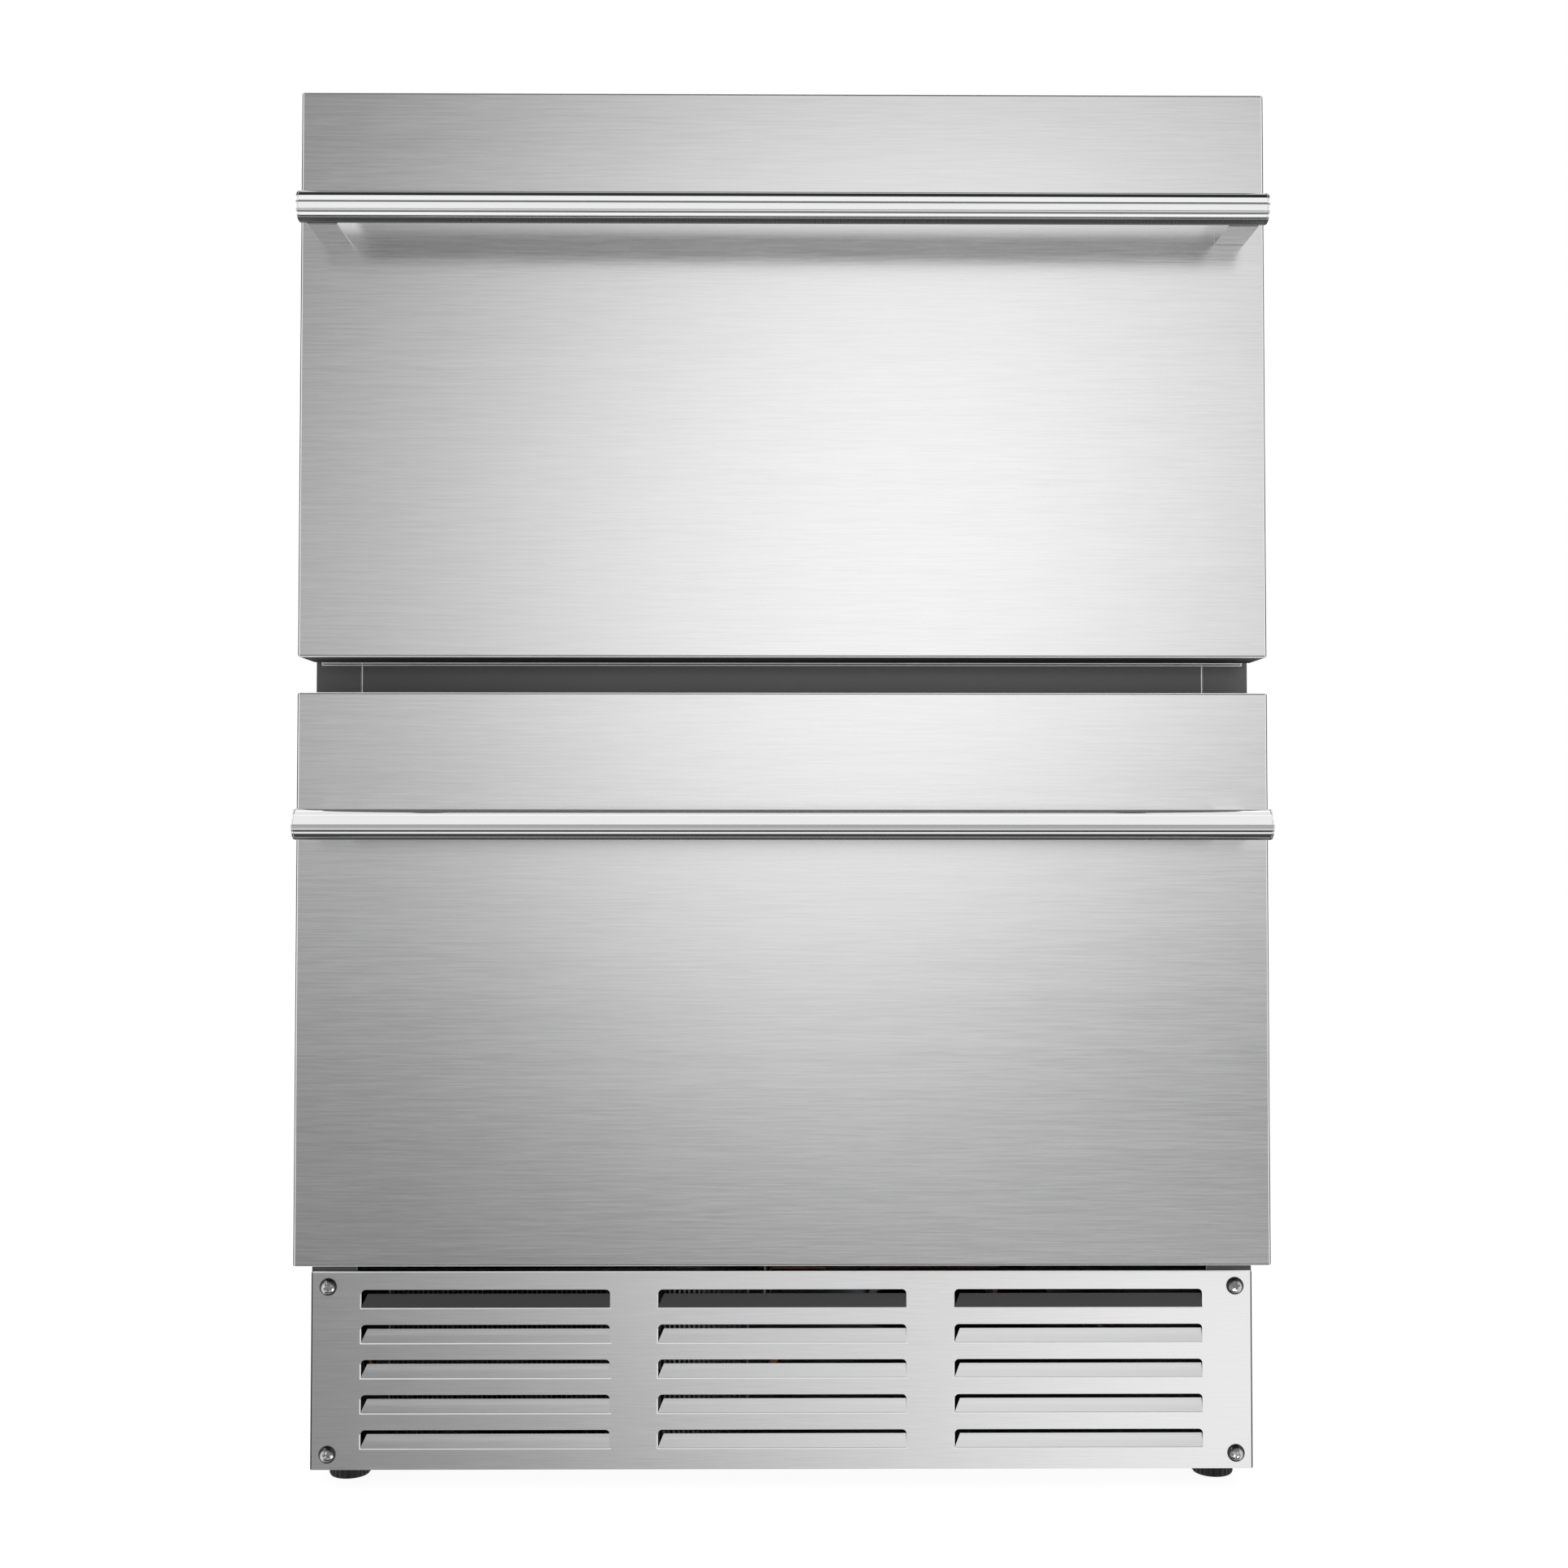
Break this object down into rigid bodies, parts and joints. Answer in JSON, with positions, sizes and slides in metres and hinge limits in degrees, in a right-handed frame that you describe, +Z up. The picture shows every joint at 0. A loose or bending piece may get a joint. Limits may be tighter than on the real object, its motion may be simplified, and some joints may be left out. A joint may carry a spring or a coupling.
{
  "type": "undercounter drawer refrigerator",
  "caption": "Built-in undercounter refrigerator with stacked stainless drawers on telescopic slides, full-width tubular bar handles, a louvred toe grille and levelling feet.",
  "frame": {"origin": "on the floor under the middle of the bounding box, midway from the handles to the back", "axes": "+X to the viewer's right, the drawers open towards -Y, +Z up"},
  "size_m": [0.596, 0.6562, 0.875],
  "materials": {
    "brushed_front": "satin",
    "polished_steel": "polished",
    "satin_grille": "satin",
    "screw_steel": "polished",
    "painted_grey": "satin",
    "zinc_steel": "satin",
    "insulation": "matte",
    "liner_plastic": "satin",
    "gasket_rubber": "matte",
    "foot_plastic": "satin",
    "black_enamel": "gloss",
    "black_rubber": "matte",
    "black_plastic": "matte",
    "coil_metal": "satin",
    "copper_tube": "satin",
    "display_glass": "gloss",
    "lamp_cover": "satin"
  },
  "bodies": {
    "cabinet": {"cabinet_shell": "painted_grey", "back_panel": "zinc_steel", "base_pan": "zinc_steel", "cabinet_foam": "insulation", "cabinet_liner": "liner_plastic", "mullion": "painted_grey", "deck_panel": "painted_grey", "toe_grille": "satin_grille", "grille_screws": "screw_steel", "compressor": "black_enamel", "compressor_mounts": "black_rubber", "compressor_cover": "black_plastic", "condenser": "coil_metal", "condenser_fan_frame": "black_plastic", "drip_tray": "black_plastic", "drain_tube": "black_rubber", "refrigerant_lines": "copper_tube", "filter_drier": "copper_tube", "power_inlet": "black_plastic", "evaporator": "coil_metal", "evaporator_cover": "liner_plastic", "evaporator_fan_frame": "black_plastic", "control_housing": "liner_plastic", "control_window": "display_glass", "room_lamp": "lamp_cover", "slide_rails": "zinc_steel"},
    "upper_drawer": {"upper_front_panel": "brushed_front", "upper_front_foam": "insulation", "upper_inner_panel": "liner_plastic", "upper_gasket": "gasket_rubber", "upper_handle_bar": "polished_steel", "upper_handle_caps": "polished_steel", "upper_handle_posts": "polished_steel", "upper_handle_screws": "zinc_steel", "upper_bin": "liner_plastic", "upper_brackets": "zinc_steel", "upper_slide_runners": "zinc_steel"},
    "lower_drawer": {"lower_front_panel": "brushed_front", "lower_front_foam": "insulation", "lower_inner_panel": "liner_plastic", "lower_gasket": "gasket_rubber", "lower_handle_bar": "polished_steel", "lower_handle_caps": "polished_steel", "lower_handle_posts": "polished_steel", "lower_handle_screws": "zinc_steel", "lower_bin": "liner_plastic", "lower_brackets": "zinc_steel", "lower_slide_runners": "zinc_steel"},
    "upper_slide_middle": {"upper_slide_mids": "zinc_steel"},
    "lower_slide_middle": {"lower_slide_mids": "zinc_steel"},
    "condenser_fan": {"condenser_fan_rotor": "black_plastic"},
    "evaporator_fan": {"evaporator_fan_rotor": "black_plastic"},
    "foot_front_left": {"foot_front_left": "foot_plastic"},
    "foot_front_right": {"foot_front_right": "foot_plastic"},
    "foot_rear_left": {"foot_rear_left": "foot_plastic"},
    "foot_rear_right": {"foot_rear_right": "foot_plastic"},
    "button_power": {"button_power": "black_plastic"},
    "button_cooler": {"button_cooler": "black_plastic"},
    "button_warmer": {"button_warmer": "black_plastic"}
  },
  "joints": [
    {"name": "upper_drawer_slide", "type": "slide", "parent": "cabinet", "child": "upper_drawer", "axis": [0, -1, 0], "range_m": [0, 0.42]},
    {"name": "upper_middle_slide", "type": "slide", "parent": "cabinet", "child": "upper_slide_middle", "axis": [0, -1, 0], "range_m": [0, 0.21]},
    {"name": "lower_drawer_slide", "type": "slide", "parent": "cabinet", "child": "lower_drawer", "axis": [0, -1, 0], "range_m": [0, 0.42]},
    {"name": "lower_middle_slide", "type": "slide", "parent": "cabinet", "child": "lower_slide_middle", "axis": [0, -1, 0], "range_m": [0, 0.21]},
    {"name": "condenser_fan_spin", "type": "hinge", "parent": "cabinet", "child": "condenser_fan", "pos_m": [-0.138, -0.15927, 0.07015], "axis": [0, 1, 0], "continuous": true},
    {"name": "evaporator_fan_spin", "type": "hinge", "parent": "cabinet", "child": "evaporator_fan", "pos_m": [0, 0.24328, 0.7682], "axis": [0, 1, 0], "continuous": true},
    {"name": "foot_front_left_screw_out", "type": "slide", "parent": "cabinet", "child": "foot_front_left", "axis": [0, 0, -1], "range_m": [0, 0.02]},
    {"name": "foot_front_right_screw_out", "type": "slide", "parent": "cabinet", "child": "foot_front_right", "axis": [0, 0, -1], "range_m": [0, 0.02]},
    {"name": "foot_rear_left_screw_out", "type": "slide", "parent": "cabinet", "child": "foot_rear_left", "axis": [0, 0, -1], "range_m": [0, 0.02]},
    {"name": "foot_rear_right_screw_out", "type": "slide", "parent": "cabinet", "child": "foot_rear_right", "axis": [0, 0, -1], "range_m": [0, 0.02]},
    {"name": "button_power_press", "type": "slide", "parent": "cabinet", "child": "button_power", "axis": [0, 1, 0], "range_m": [0, 0.0012], "stiffness_N_per_m": 800},
    {"name": "button_cooler_press", "type": "slide", "parent": "cabinet", "child": "button_cooler", "axis": [0, 1, 0], "range_m": [0, 0.0012], "stiffness_N_per_m": 800},
    {"name": "button_warmer_press", "type": "slide", "parent": "cabinet", "child": "button_warmer", "axis": [0, 1, 0], "range_m": [0, 0.0012], "stiffness_N_per_m": 800}
  ],
  "couplings": [
    {"joint": "upper_middle_slide", "follows": "upper_drawer_slide", "ratio": 0.5},
    {"joint": "lower_middle_slide", "follows": "lower_drawer_slide", "ratio": 0.5}
  ]
}
